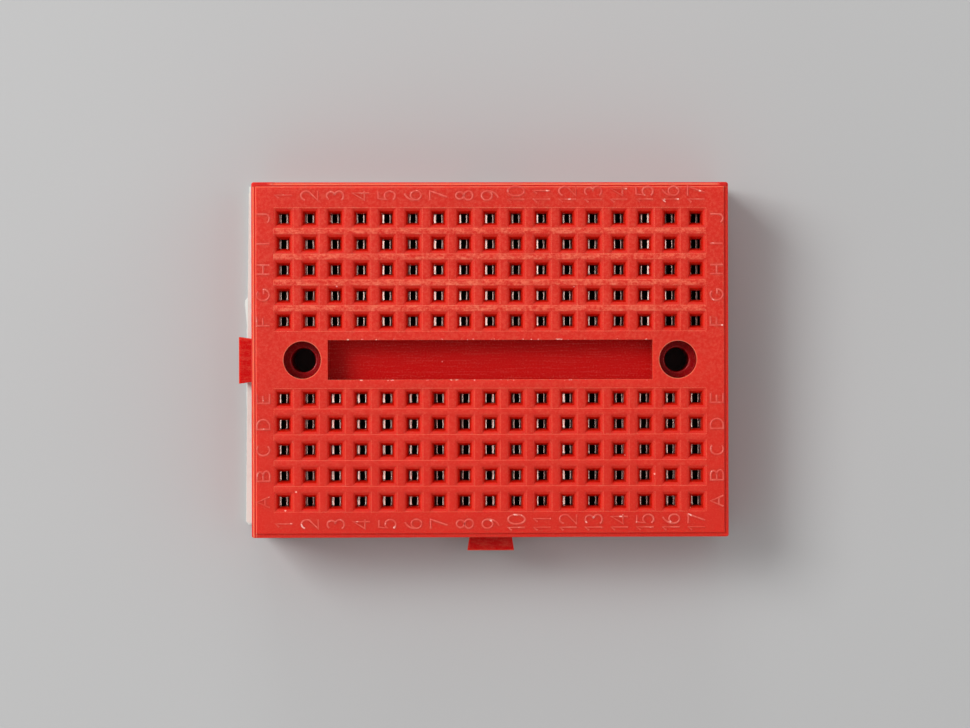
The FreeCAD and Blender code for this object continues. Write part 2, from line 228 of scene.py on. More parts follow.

# Places of the housing's looks, in millimetres.
# a recess is painted darker red below these heights, as shade
DEEP_FROM, DEEP_TO = 7.9, 6.9  # heights over which a recess turns deep red
# the back ledge's raised ends are painted darker red, as shade
LEFT_LAND, RIGHT_LAND = (-21.3, -22.1), (22.3, 22.8)  # where the back ledge's raised ends begin
# of the thin lines below, the first and third are painted shade, the second and fourth painted highlights
LEDGE_LINES = (  # along the left and back edges: name, start and end inwards of the edge
    ("outer_line", -0.05, 0.08),
    ("rim_strip", 0.12, 0.27),
    ("groove", 0.29, 0.40),
    ("face_line", 0.44, 0.51),
)


def soften(shader):
    """Lets red light spread a little below the surface, as it does in moulded plastic."""
    shader.set(Subsurface_Weight=0.9, Subsurface_Radius=(1.0, 0.12, 0.08), Subsurface_Scale=0.9 * MM)


def lit_edges(shader, everywhere):
    """A normal that rounds the edges turned to the upper left, or all of them, and their mask."""
    rounded = shader.node("ShaderNodeBevel", samples=4).outputs["Normal"]
    rounded.node.inputs["Radius"].default_value = 0.04 * MM
    flat = shader.node("ShaderNodeNewGeometry").outputs["Normal"]
    tilt = shader.vector_math("SUBTRACT", rounded, flat)
    lean = shader.vector_math("DOT_PRODUCT", tilt, (-0.7, 0.7, 0.0), "Value")
    toward = shader.ramp(lean, 0.02, 0.25)
    normal = shader.node("ShaderNodeMix", data_type="VECTOR")
    shader.feed(normal.inputs["Factor"], shader.math("MAXIMUM", toward, everywhere))
    shader.feed(normal.inputs["A"], flat)
    shader.feed(normal.inputs["B"], rounded)
    return normal.outputs["Result"], toward


def housing_zones(s):
    """Masks, from 0 to 1, of the housing's main regions, and the place they are read from."""
    x, y, z = s.axis("X"), s.axis("Y"), s.axis("Z")
    side, end = HALF_LENGTH / MM, HALF_WIDTH / MM
    panel_x, panel_y = side - LEDGE_WIDTH / MM, end - LEDGE_WIDTH / MM
    seat = SEAT / MM
    inside = s.product(between(s, x, -panel_x, panel_x, 0.02), between(s, y, -panel_y, panel_y, 0.02))
    on_walls = s.product(
        s.ramp(x, -side - 0.06, -side - 0.02),
        s.ramp(y, -end - 0.06, -end - 0.02),
    )
    on_tabs = s.math("SUBTRACT", 1.0, on_walls)
    low = s.product(s.ramp(z, DEEP_TO, DEEP_FROM, 1.0, 0.0), inside)
    return SimpleNamespace(
        x=x,
        y=y,
        z=z,  # millimetres, as the places above
        recess=s.product(inside, s.ramp(z, seat - 0.25, seat - 0.05, 1.0, 0.0)),
        on_ribs=s.ramp(z, TOP / MM - 0.02, TOP / MM - 0.01),
        on_top=s.ramp(z, seat - 0.02, seat + 0.01),
        on_tabs=on_tabs,
        deep=s.math("MAXIMUM", low, on_tabs),
        below_seat=s.ramp(z, seat - 0.03, seat - 0.02, 1.0, 0.0),
    )


def add_ledge_zones(s, zones):
    """Masks of the raised ends of the back ledge and of the thin lines along the left and back, where shade
    and highlights are painted.
    """
    x, y = zones.x, zones.y
    above_ledge = s.ramp(zones.z, LEDGE / MM - 0.2, LEDGE / MM - 0.1)
    behind = s.ramp(y, HALF_WIDTH / MM - 0.45, HALF_WIDTH / MM - 0.41)
    corners = s.math("MAXIMUM", s.ramp(x, *LEFT_LAND), s.ramp(x, *RIGHT_LAND))
    zones.lands = s.product(behind, corners, above_ledge)
    from_left = s.math("ADD", x, HALF_LENGTH / MM)
    inward = s.math("MINIMUM", from_left, s.math("SUBTRACT", HALF_WIDTH / MM, y))
    strips = s.product(above_ledge, s.math("SUBTRACT", 1.0, zones.lands))
    for name, start, stop in LEDGE_LINES:
        setattr(zones, name, s.product(strips, between(s, inward, start, stop, 0.02)))


def add_hole_zones(s, zones):
    """Masks of the screw holes, the trench's floor, its rim, and the outer ends of the tabs."""
    beside = s.node("ShaderNodeCombineXYZ")
    s.feed(beside.inputs["X"], s.math("SUBTRACT", s.math("ABSOLUTE", zones.x), SCREW_PLACE / MM))
    s.feed(beside.inputs["Y"], zones.y)
    radius = s.vector_math("LENGTH", beside.outputs["Vector"], (0, 0, 0), "Value")
    bore = COUNTERBORE / MM
    zones.in_screw = s.product(zones.recess, s.ramp(radius, bore - 0.01, bore + 0.05, 1.0, 0.0))
    # a ring of painted highlight round each counterbore's rim
    zones.screw_ring = s.product(zones.on_top, between(s, radius, bore - 0.02, bore + 0.07, 0.02))
    half, floor_height = TRENCH_HALF / MM, TRENCH_FLOOR / MM
    zones.in_trench = s.product(
        between(s, zones.y, -half.y, half.y, 0.05),
        between(s, zones.z, floor_height - 0.1, floor_height + 0.1, 0.05),
    )
    rim = between(s, s.math("ABSOLUTE", zones.y), half.y - 0.02, half.y + 0.11, 0.02)
    zones.trench_rim = s.product(rim, between(s, zones.x, -half.x - 0.1, half.x + 0.1, 0.1))
    # the tabs' outer ends, painted paler as highlight
    zones.tab_ends = s.math(
        "MAXIMUM",
        s.ramp(zones.x, housing_low.x / MM + 0.11, housing_low.x / MM + 0.05),
        s.ramp(zones.y, housing_low.y / MM + 0.11, housing_low.y / MM + 0.05),
    )


def clean_red(s, zones):
    """The moulding's colour with painted shade: darker red in recesses, deep down, on the tabs, on the back
    ledge's raised ends and two of its lines, darkest in the counterbores.
    """
    drift = s.ramp(s.noise(0.12, 2.0), 0.35, 0.65, 0.0, 0.5)
    colour = s.mix(drift, RED_FACE, RED_SHADE)
    # painted shade: recesses turn somewhat darker red
    colour = s.mix(s.product(zones.recess, 0.30), colour, RED_PAINTED_SHADE)
    # painted shade: deep places, the tabs and the back ledge's raised ends turn darker red
    colour = s.mix(s.math("MAXIMUM", zones.deep, s.product(zones.lands, 0.6)), colour, RED_PAINTED_SHADE)
    # painted shade: dark lines at the ledge's outer rounding and at its step
    colour = s.mix(s.product(zones.outer_line, 0.6), colour, RED_PAINTED_SHADE)
    colour = s.mix(s.product(zones.groove, 0.8), colour, RED_PAINTED_SHADE)
    # painted shade: the counterbores turn darkest red
    return s.mix(s.product(zones.in_screw, 0.8), colour, SHADED_BORE_RED)


def housing_wear(s, zones, grain):
    """How far the surface is turned pale: rubbed most on the back bank's ribs, with painted highlights on
    edges facing the light, on ledge lines, counterbore rims and tab ends.
    """
    mottle = s.ramp(s.noise(3.2, 5.0, 0.70), 0.42, 0.64)
    streaks = s.ramp(s.noise(1.1, 6.0, 0.70, (1, 2.4, 1)), 0.42, 0.66)
    rubbed = s.math("ADD", s.product(streaks, 0.23), s.product(mottle, 0.13))
    rubbed = s.product(rubbed, zones.on_ribs, s.ramp(zones.y, -4.0, 4.0, 0.12, 1.0))
    haze = s.product(mottle, zones.on_top, s.ramp(zones.y, -17.0, 6.0, 0.01, 0.07))
    wear = s.math("ADD", rubbed, haze)
    # the lit edges, ledge lines, counterbore rims and tab ends below are painted highlights
    for mask, amount in (
        (s.ramp(grain, 0.45, 0.70), 0.05),
        # painted highlight on edges facing the upper left
        (zones.edge, 0.45),
        # painted highlights on the ledge's rim strip and on the face's edge line
        (zones.rim_strip, 0.42),
        (zones.face_line, 0.22),
        # painted highlights round the counterbore rims and on the tabs' outer ends
        (zones.screw_ring, 0.22),
        (s.product(zones.on_tabs, zones.tab_ends), 0.10),
        (s.product(zones.on_tabs, streaks), 0.08),
    ):
        wear = s.math("ADD", wear, s.product(mask, amount))
    return wear


def housing_specks(s, zones):
    """Dust all over and small burrs along the trench's rim."""
    size = s.ramp(s.cells(0.55), 0.035, 0.06, 1.0, 0.0)
    kept = s.math("GREATER_THAN", s.cells(0.55, "Color"), 0.70)
    dust = s.product(size, kept)
    burrs = s.product(zones.trench_rim, zones.on_top, s.ramp(s.noise(3.1, 2.0), 0.62, 0.68))
    return s.math("MAXIMUM", dust, burrs)


def red_plastic():
    """Moulded red plastic: a matt face, glossy recesses in painted shade, rubbed ribs, edges with painted
    highlight, dust, a streaked trench.
    """
    s = Shader("red_plastic")
    zones = housing_zones(s)
    add_ledge_zones(s, zones)
    add_hole_zones(s, zones)
    bevel, toward = lit_edges(s, zones.below_seat)  # below the seats every edge is rounded
    # painted highlight: edges that face the upper left, where the key light falls, are made paler
    zones.edge = s.product(toward, s.math("MAXIMUM", zones.on_top, zones.on_tabs))
    grain = s.noise(6.0, 4.0, 0.65)
    scratches = s.ramp(s.noise(0.9, 5.0, 0.7, (0.25, 6.0, 1)), 0.45, 0.75)
    scratched = s.product(zones.in_trench, scratches)

    # wear and painted highlights make the colour paler here
    colour = s.mix(housing_wear(s, zones, grain), clean_red(s, zones), RED_WEAR_AND_HIGHLIGHT)
    colour = s.mix(s.product(scratched, 0.03), colour, RED_WEAR_AND_HIGHLIGHT)
    colour = s.mix(s.product(housing_specks(s, zones), 0.7), colour, SPECK)

    matt = s.ramp(grain, 0.3, 0.7, 0.50, 0.62)
    matt = s.blend(s.math("MAXIMUM", zones.edge, zones.rim_strip), matt, 0.34)
    gloss = s.math("ADD", s.ramp(grain, 0.3, 0.7, 0.20, 0.27), s.product(scratched, 0.10))
    rough = s.blend(s.math("MAXIMUM", zones.recess, zones.deep), matt, gloss)
    normal = s.bump(s.noise(0.7, 2.0), 0.02 * MM, 0.5, bevel)
    normal = s.bump(grain, 0.005 * MM, 0.6, normal)
    normal = s.bump(scratched, 0.005 * MM, 0.7, normal)
    s.set(Base_Color=colour, Roughness=rough, Normal=normal, IOR=1.42, Specular_IOR_Level=0.36)
    soften(s)
    return s.material


def mark_plastic():
    """The same plastic on the raised marks, paler partly where they are rubbed and partly as painted
    highlight on their tops.
    """
    s = Shader("mark_plastic")
    # paler patches and rubbed spots, partly painted highlight
    patches = s.ramp(s.noise(0.8, 3.0, 0.6), 0.35, 0.70, 0.08, 0.24)
    rubbed = s.ramp(s.noise(2.6, 4.0, 0.7), 0.50, 0.72)
    colour = s.mix(s.math("ADD", patches, s.product(rubbed, 0.20)), RED_FACE, MARK_WEAR_AND_HIGHLIGHT)
    spots = s.ramp(s.noise(1.6, 2.0), 0.64, 0.70)
    s.set(Base_Color=s.mix(s.product(spots, 0.6), colour, SPECK))
    s.set(Roughness=s.ramp(rubbed, 0.0, 1.0, 0.36, 0.6), IOR=1.42)
    s.set(Normal=s.bump(s.noise(6.0, 3.0), 0.006 * MM, 0.6))
    return s.material


def clip_metal():
    """Plated bronze strip: bright lips, walls below painted dark as shade, both tinted red as painted
    reflection of the red plastic, faint rolling lines.
    """
    s = Shader("clip_metal")
    lines = s.noise(9.0, 4.0, 0.6, (1, 0.12, 1))
    stains = s.ramp(s.noise(1.1, 3.0), 0.5, 0.75)
    # painted shade: below the lips the metal turns dark
    lip = s.ramp(s.axis("Z"), LIP / MM - 0.22, LIP / MM - 0.03)
    # the red tint of both colours is painted reflection of the red plastic
    bright = s.mix(stains, (0.74, 0.50, 0.44, 1), (0.48, 0.29, 0.24, 1))
    walls_shade = s.mix(stains, (0.18, 0.085, 0.07, 1), (0.10, 0.045, 0.04, 1))
    s.set(Base_Color=s.mix(lip, walls_shade, bright), Metallic=1.0)
    s.set(Roughness=s.ramp(lines, 0.3, 0.7, 0.20, 0.30))
    s.set(Normal=s.bump(lines, 0.003 * MM, 0.5))
    return s.material


def foam():
    """Cream closed-cell foam: fine cells with thin walls, a little dirt on the cut edge."""
    s = Shader("foam")
    cells = s.cells(9.0)
    dirt = s.ramp(s.noise(0.8, 4.0, 0.65), 0.45, 0.75)
    colour = s.mix(s.product(dirt, 0.5), (0.67, 0.675, 0.62, 1), (0.53, 0.525, 0.47, 1))
    pores = s.ramp(cells, 0.0, 0.5, 0.0, 1.0)
    colour = s.mix(s.product(pores, 0.25), colour, (0.75, 0.755, 0.70, 1))
    s.set(Base_Color=colour, Roughness=s.ramp(cells, 0.0, 0.6, 0.95, 0.8))
    s.set(Normal=s.bump(cells, 0.03 * MM, 0.8))
    return s.material


def paper():
    """Greyish-white coated paper with short fibres and faint handling marks."""
    s = Shader("paper")
    fibres = s.noise(3.5, 6.0, 0.7, (1, 3.2, 1))
    marks = s.ramp(s.noise(0.12, 4.0, 0.6), 0.45, 0.75)
    colour = s.mix(s.product(marks, 0.5), (0.655, 0.665, 0.64, 1), (0.56, 0.57, 0.545, 1))
    colour = s.mix(s.ramp(fibres, 0.45, 0.8, 0.0, 0.35), colour, (0.735, 0.75, 0.73, 1))
    s.set(Base_Color=colour, Roughness=s.ramp(fibres, 0.3, 0.7, 0.62, 0.80))
    s.set(Normal=s.bump(fibres, 0.01 * MM, 0.7))
    return s.material


def table_top():
    """A plain pale floor."""
    s = Shader("table_top")
    cloud = s.noise(0.02, 2.0)
    s.set(Base_Color=s.mix(cloud, (0.42, 0.42, 0.42, 1), (0.46, 0.46, 0.46, 1)))
    s.set(Roughness=s.ramp(cloud, 0.3, 0.7, 0.7, 0.8))
    return s.material


# ---- Mesh helpers ----------------------------------------------------------------------------


def new_piece(name, mesh_builder, material, smooth_angle=35):
    """A mesh object made from a bmesh, shaded smooth below the given angle."""
    mesh = bpy.data.meshes.new(name)
    mesh_builder.normal_update()
    mesh_builder.to_mesh(mesh)
    mesh_builder.free()
    mesh.materials.append(material)
    piece = bpy.data.objects.new(name, mesh)
    bpy.context.scene.collection.objects.link(piece)
    mesh.shade_smooth()
    mesh.set_sharp_from_angle(angle=math.radians(smooth_angle))
    return piece


def paint_node(name, material):
    """Gives a CAD node a new material."""
    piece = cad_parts[name]
    piece.data.materials.clear()
    piece.data.materials.append(material)


# ---- Index marks -----------------------------------------------------------------------------


def arc(centre, radii, start, end, steps=10):
    """Points of an ellipse's arc, angles in degrees."""
    points = []
    for i in range(steps + 1):
        angle = math.radians(start + (end - start) * i / steps)
        points.append((centre[0] + radii[0] * math.cos(angle), centre[1] + radii[1] * math.sin(angle)))
    return points


# Each mark is a list of strokes in a cell one unit high and 0.66 wide.
GLYPHS = {
    "0": [arc((0.33, 0.5), (0.33, 0.5), 0, 360, 20)],
    "1": [[(0.15, 0.78), (0.36, 1.0), (0.36, 0.0)]],
    "2": [arc((0.33, 0.68), (0.31, 0.32), 165, -35) + [(0.02, 0.0), (0.66, 0.0)]],
    "3": [
        arc((0.31, 0.75), (0.28, 0.25), 150, -80),
        arc((0.31, 0.27), (0.33, 0.27), 82, -150),
    ],
    "4": [[(0.50, 0.0), (0.50, 1.0), (0.02, 0.30), (0.66, 0.30)]],
    "5": [[(0.60, 1.0), (0.12, 1.0), (0.06, 0.52)] + arc((0.31, 0.32), (0.33, 0.32), 130, -145)],
    "6": [
        arc((0.34, 0.31), (0.31, 0.31), 0, 360, 18),
        arc((0.62, 0.36), (0.60, 0.64), 105, 176),
    ],
    "7": [[(0.02, 1.0), (0.64, 1.0), (0.24, 0.0)]],
    "8": [
        arc((0.33, 0.76), (0.25, 0.24), 0, 360, 16),
        arc((0.33, 0.26), (0.31, 0.26), 0, 360, 18),
    ],
    "9": [
        arc((0.32, 0.69), (0.31, 0.31), 0, 360, 18),
        arc((0.04, 0.64), (0.60, 0.64), -75, -4),
    ],
    "A": [[(0.0, 0.0), (0.33, 1.0), (0.66, 0.0)], [(0.13, 0.36), (0.53, 0.36)]],
    "B": [
        [(0.04, 0.0), (0.04, 1.0), (0.34, 1.0)]
        + arc((0.34, 0.76), (0.26, 0.24), 90, -90)
        + [(0.04, 0.52)],
        arc((0.34, 0.26), (0.31, 0.26), 90, -90) + [(0.04, 0.0)],
    ],
    "C": [arc((0.36, 0.5), (0.34, 0.5), 50, 310, 14)],
    "D": [
        [(0.04, 0.0), (0.04, 1.0), (0.24, 1.0)] + arc((0.24, 0.5), (0.40, 0.5), 90, -90) + [(0.04, 0.0)]
    ],
    "E": [[(0.62, 1.0), (0.06, 1.0), (0.06, 0.0), (0.62, 0.0)], [(0.06, 0.52), (0.52, 0.52)]],
    "F": [[(0.62, 1.0), (0.06, 1.0), (0.06, 0.0)], [(0.06, 0.52), (0.52, 0.52)]],
    "G": [arc((0.36, 0.5), (0.34, 0.5), 50, 345, 14) + [(0.69, 0.46), (0.42, 0.46)]],
    "H": [[(0.05, 0.0), (0.05, 1.0)], [(0.61, 0.0), (0.61, 1.0)], [(0.05, 0.5), (0.61, 0.5)]],
    "I": [[(0.33, 0.0), (0.33, 1.0)]],
    "J": [[(0.56, 1.0), (0.56, 0.30)] + arc((0.30, 0.28), (0.26, 0.28), 0, -160)],
}
CELL_WIDTH = 0.66
STROKE = 0.20 * MM  # width of a raised line at its foot
RELIEF = 0.045 * MM  # how far a line stands out
SUNK = 0.02 * MM  # how far its foot reaches into the face
DIGIT_HEIGHT = 1.66 * MM
DIGIT_WIDTH = 0.94 * MM
TENS_STEP = 0.80 * MM  # from the stem of a leading 1 to the middle of the next digit
LETTER_HEIGHT = 1.26 * MM
LETTER_WIDTH = 1.06 * MM
LETTER_PLACE = 22.33 * MM  # middle of a row letter, along X
NUMBER_STARTS = (15.70 * MM, -16.62 * MM)  # where a column number begins, along Y


def add_stroke(builder, points, level):
    """A raised line with sloping flanks along points, which lie in the XY plane."""
    closed = (Vector(points[0]) - Vector(points[-1])).length < STROKE / 10
    path = [Vector(p) for p in (points[:-1] if closed else points)]
    count = len(path)
    section = ((-0.5, -SUNK), (-0.2, RELIEF), (0.2, RELIEF), (0.5, -SUNK))
    rings = []
    for i, point in enumerate(path):
        before = path[i - 1] if closed or i else point
        after = path[(i + 1) % count] if closed or i < count - 1 else point
        ahead = (after - point).normalized() if after != point else Vector((0, 0))
        behind = (point - before).normalized() if before != point else Vector((0, 0))
        along = (ahead + behind).normalized()
        side = Vector((-along.y, along.x))
        straight = ahead if ahead.length else behind
        widen = min(1.6, 1 / max(0.5, abs(along.dot(straight))))
        ring = []
        for across, up in section:
            flat = point + side * across * STROKE * widen
            ring.append(builder.verts.new((flat.x, flat.y, level + up)))
        rings.append(ring)
    pairs = [(rings[i], rings[(i + 1) % count]) for i in range(count if closed else count - 1)]
    size = len(section)
    for one, two in pairs:
        for k in range(size):
            m = (k + 1) % size
            builder.faces.new((one[k], one[m], two[m], two[k]))
    if not closed:
        builder.faces.new(reversed(rings[0]))
        builder.faces.new(rings[-1])


def add_mark(builder, character, centre, height, width):
    """A character that reads upwards along +Y, turned a quarter turn to the left."""
    for stroke in GLYPHS[character]:
        points = [
            (centre[0] - (up - 0.5) * height, centre[1] + (across / CELL_WIDTH - 0.5) * width)
            for across, up in stroke
        ]
        add_stroke(builder, points, FACE)


def add_number(builder, number, across, start):
    """A column number that begins at start and reads upwards along +Y."""
    text = str(number)
    middle = start + DIGIT_WIDTH / 2
    if len(text) == 2:
        stem = start + STROKE / 2
        shift = DIGIT_WIDTH * (0.36 / CELL_WIDTH - 0.5)
        add_mark(builder, "1", (across, stem - shift), DIGIT_HEIGHT, DIGIT_WIDTH)
        middle = stem + TENS_STEP
    add_mark(builder, text[-1], (across, middle), DIGIT_HEIGHT, DIGIT_WIDTH)


def index_marks(material):
    """Column numbers along both long edges and row letters along both short ones."""
    builder = bmesh.new()
    for column in range(COLUMNS):
        across = -LAST_COLUMN + column * PITCH
        for start in NUMBER_STARTS:
            add_number(builder, column + 1, across, start)
    for letters, side in (("FGHIJ", 1), ("ABCDE", -1)):
        for i, letter in enumerate(letters):
            up = side * BANK_MIDDLE + (i - (ROWS - 1) / 2) * PITCH
            for end in (-1, 1):
                add_mark(builder, letter, (end * LETTER_PLACE, up), LETTER_HEIGHT, LETTER_WIDTH)
    bmesh.ops.recalc_face_normals(builder, faces=builder.faces)
    piece = new_piece("index_marks", builder, material, 50)
    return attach(piece, BOARD)


# ---- Contact clips ---------------------------------------------------------------------------


# A clip's section in millimetres: distances from its middle, and heights above its foot.
WALL = 0.70  # middle of the channel's wall
GRIP = 0.18  # middle of a leaf where it grips a lead
MOUTH = 0.375  # middle of a leaf at its lip
ROOT_HEIGHT = 1.4  # where the leaves leave the channel
GRIP_HEIGHT = 5.0
LIP_HEIGHT = 6.3
LEAF_HEIGHTS = (1.0, 1.4, 2.3, 3.2, 4.1, 4.6, 4.9, 5.1, 5.35, 5.6, 5.85, 6.05, 6.2, 6.265, LIP_HEIGHT)
LEAF_HALF = 0.80  # half of a leaf's width at its root
GLINT_LEAN = 11.3  # degrees, a lip's lean that turns a glint light into the camera
GLINT_TURN = 0.095  # degrees less or more for each millimetre along X


def leaf_middle(up):
    """How far the middle of a leaf's sheet stands from the clip's middle, in millimetres."""
    if up < ROOT_HEIGHT:
        return WALL
    if up < GRIP_HEIGHT:
        return WALL + (GRIP - WALL) * (up - ROOT_HEIGHT) / (GRIP_HEIGHT - ROOT_HEIGHT)
    return GRIP + (MOUTH - GRIP) * ((up - GRIP_HEIGHT) / (LIP_HEIGHT - GRIP_HEIGHT)) ** 1.5


def add_sheet(builder, grid, thickness):
    """A closed sheet of metal on a grid of (point, outward direction) pairs."""
    rows, columns = len(grid), len(grid[0])
    sides = [
        [
            [builder.verts.new(point + outward * thickness * side) for point, outward in row]
            for row in grid
        ]
        for side in (0.5, -0.5)
    ]
    outer, inner = sides
    for i in range(rows - 1):
        for j in range(columns - 1):
            builder.faces.new((outer[i][j], outer[i][j + 1], outer[i + 1][j + 1], outer[i + 1][j]))
            builder.faces.new((inner[i][j], inner[i + 1][j], inner[i + 1][j + 1], inner[i][j + 1]))
    for i in range(rows - 1):
        for j in (0, columns - 1):
            builder.faces.new((outer[i][j], outer[i + 1][j], inner[i + 1][j], inner[i][j]))
    for j in range(columns - 1):
        for i in (0, rows - 1):
            builder.faces.new((outer[i][j], outer[i][j + 1], inner[i][j + 1], inner[i][j]))


def channel_grid(half_length):
    """The folded channel of a clip, from one leaf root round the foot to the other."""
    wall, foot, bend = WALL * MM, SHEET / 2, 0.25 * MM
    profile = [(-wall, 1.0 * MM)]
    profile += [
        (-wall + bend - bend * math.cos(a), foot + bend - bend * math.sin(a))
        for a in (math.radians(15 * k) for k in range(7))
    ]
    profile += [(-across, up) for across, up in reversed(profile)]
    rows = []
    count = len(profile)
    for i, (across, up) in enumerate(profile):
        before, after = profile[max(i - 1, 0)], profile[min(i + 1, count - 1)]
        along = Vector((after[0] - before[0], after[1] - before[1])).normalized()
        outward = Vector((along.y, 0, -along.x))
        rows.append([(Vector((across, y, up)), outward) for y in (-half_length, half_length)])
    return rows


def leaf_grid(side, middle, spread, lean, lip_share):
    """One spring leaf, cupped round the lead; lean tips its lip, lip_share says how thick that is."""
    across_count = 13
    rows = []
    for height in LEAF_HEIGHTS:
        share = (height - LEAF_HEIGHTS[0]) / (LIP_HEIGHT - LEAF_HEIGHTS[0])
        slope = Vector((leaf_middle(height + 0.02) - leaf_middle(height - 0.02), 0, 0.04)).normalized()
        outward = Vector((side * slope.z, 0, -slope.x))
        if height == LIP_HEIGHT:
            outward = Vector((side * math.cos(lean), 0, math.sin(lean))) * lip_share
        narrowing = 1 - 0.10 * share
        cup = 0.03 * max(0.0, share - 0.35) / 0.65
        near_lip = max(0.0, (height - 6.0) / (LIP_HEIGHT - 6.0))
        row = []
        for j in range(across_count):
            t = 2 * j / (across_count - 1) - 1
            corner = max(0.0, (abs(t) - 0.65) / 0.35)
            dish = cup * (math.cos(math.pi * min(1.0, abs(t) * 1.2)) * 0.5 - 0.5)
            drop = 0.20 * near_lip * corner**2
            x = side * (leaf_middle(height) + dish + spread * share)
            y = middle / MM + t * LEAF_HALF * narrowing
            row.append((Vector((x, y, height - drop)) * MM, outward))
        rows.append(row)
    return rows


def contact_clip(bank, column, material):
    """A detailed clip in the place of its CAD solid, seated a little off centre as real ones are."""
    label = f"{bank}_{column + 1:02d}"
    low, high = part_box(f"contact_clip_{label}")
    builder = bmesh.new()
    add_sheet(builder, channel_grid((high.y - low.y) / 2), SHEET)
    spread = rng.uniform(-0.02, 0.02)
    shining = {side: rng.random() < chance for side, chance in ((-1, 0.45), (1, 0.05))}
    turn = GLINT_TURN * (low.x + high.x) / 2 / MM
    leans = {
        side: math.radians(GLINT_LEAN + side * turn if shining[side] else rng.uniform(-4, 3))
        for side in (-1, 1)
    }
    for row in range(ROWS):
        middle = (row - (ROWS - 1) / 2) * PITCH
        for side in (-1, 1):
            wobble = spread + rng.uniform(-0.012, 0.012)
            lean = leans[side] + math.radians(rng.uniform(-1.5, 1.5))
            lip_share = 1.0 if shining[side] else 0.5
            add_sheet(builder, leaf_grid(side, middle, wobble, lean, lip_share), SHEET)
    bmesh.ops.recalc_face_normals(builder, faces=builder.faces)
    seat = Vector(((low.x + high.x) / 2, (low.y + high.y) / 2, low.z))
    seat.x += rng.uniform(-0.15, 0.13) * MM
    bmesh.ops.translate(builder, verts=builder.verts, vec=seat)
    piece = new_piece(f"clip_{label}", builder, material)
    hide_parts(f"contact_clip_{label}")
    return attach(piece, BOARD)


# ---- Foam and liner --------------------------------------------------------------------------


CUT_CORNER = 0.5 * MM
SKEW = math.radians(-0.6)  # the backing is stuck on slightly askew


def sideways(points, i):
    """The direction that points out of a closed outline, anticlockwise, at its point i."""
    along = (points[(i + 1) % len(points)] - points[i - 1]).normalized()
    return Vector((along.y, -along.x, 0))


def wavy(points, amount, scale, seed):
    """Moves outline points sideways by smooth noise, in metres."""
    moved = []
    for i, point in enumerate(points):
        value = noise.noise(Vector((point.x, point.y, 0)) / scale + Vector((seed, 0, 0)))
        moved.append(point + sideways(points, i) * value * amount)
    return moved


def outline(node, step):
    """Evenly spaced points round a backing layer, anticlockwise, from its CAD box and its skew."""
    low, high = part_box(node)
    centre = (low + high) / 2
    wide, tall = high.x - low.x, high.y - low.y
    cos, sin = math.cos(SKEW), abs(math.sin(SKEW))
    half_x = (wide * cos - tall * sin) / 2 / (cos * cos - sin * sin)
    half_y = (tall * cos - wide * sin) / 2 / (cos * cos - sin * sin)
    corners = [
        Vector((CUT_CORNER * 0.4 - half_x, -half_y)),
        Vector((half_x, -half_y)),
        Vector((half_x, half_y)),
        Vector((-half_x, half_y)),
        Vector((-half_x, CUT_CORNER - half_y)),
    ]
    points = []
    for i, start in enumerate(corners):
        end = corners[(i + 1) % len(corners)]
        steps = max(1, round((end - start).length / step))
        points += [start.lerp(end, k / steps) for k in range(steps)]
    turned = []
    for p in points:
        x = centre.x + p.x * math.cos(SKEW) - p.y * math.sin(SKEW)
        y = centre.y + p.x * math.sin(SKEW) + p.y * math.cos(SKEW)
        turned.append(Vector((x, y, 0)))
    return turned


def clearance_hole(middle, height):
    """A clockwise circle of points for a screw at the given place along X."""
    steps = 40
    angles = [-2 * math.pi * k / steps for k in range(steps)]
    return [
        Vector((middle + CLEARANCE * math.cos(angle), CLEARANCE * math.sin(angle), height))
        for angle in angles
    ]


def slab(name, material, loops):
    """A closed layer between stacked loops of points, open at the two screw holes."""
    builder = bmesh.new()
    stacks = [loops]
    for side in (-1, 1):
        stacks.append([clearance_hole(side * SCREW_PLACE, loop[0].z) for loop in loops])
    caps = ([], [])
    for stack in stacks:
        rings = [[builder.verts.new(p) for p in loop] for loop in stack]
        count = len(rings[0])
        for one, two in zip(rings, rings[1:]):
            for k in range(count):
                m = (k + 1) % count
                builder.faces.new((one[k], one[m], two[m], two[k]))
        for cap, ring in zip(caps, (rings[0], rings[-1])):
            for k in range(count):
                cap.append(builder.edges.get((ring[k], ring[(k + 1) % count])))
    for cap in caps:
        bmesh.ops.triangle_fill(builder, use_beauty=True, edges=cap)
    bmesh.ops.recalc_face_normals(builder, faces=builder.faces)
    return new_piece(name, builder, material, 50)


# Left edges of the two layers, the only ones seen from above: places along Y and X, in millimetres.
FOAM_LEFT = ((-16.4, -24.72), (6.2, -24.51), (16.9, -24.38))
LINER_LEFT = (  # with a short tongue above the left tab
    (-16.4, -24.76),
    (-14.0, -24.76),
    (-8.5, -24.66),
    (-4.1, -24.69),
    (2.6, -24.66),
    (3.9, -24.68),
    (5.6, -24.82),
    (6.1, -24.82),
    (6.4, -24.54),
    (16.9, -24.37),
)


def left_edge(table, up):
    """Where a layer's left edge stands along X at the place up along Y, in millimetres."""
    for (low, start), (high, end) in zip(table, table[1:]):
        if low <= up <= high:
            return start + (end - start) * (up - low) / (high - low)
    return None


def with_left_edge(points, table):
    """Moves the outline's left side onto the places in a table."""
    moved = []
    for p in points:
        place = left_edge(table, p.y / MM)
        if place is not None and abs(p.x - place * MM) < 0.5 * MM:
            moved.append(Vector((place * MM, p.y, 0)))
        else:
            moved.append(p)
    return moved


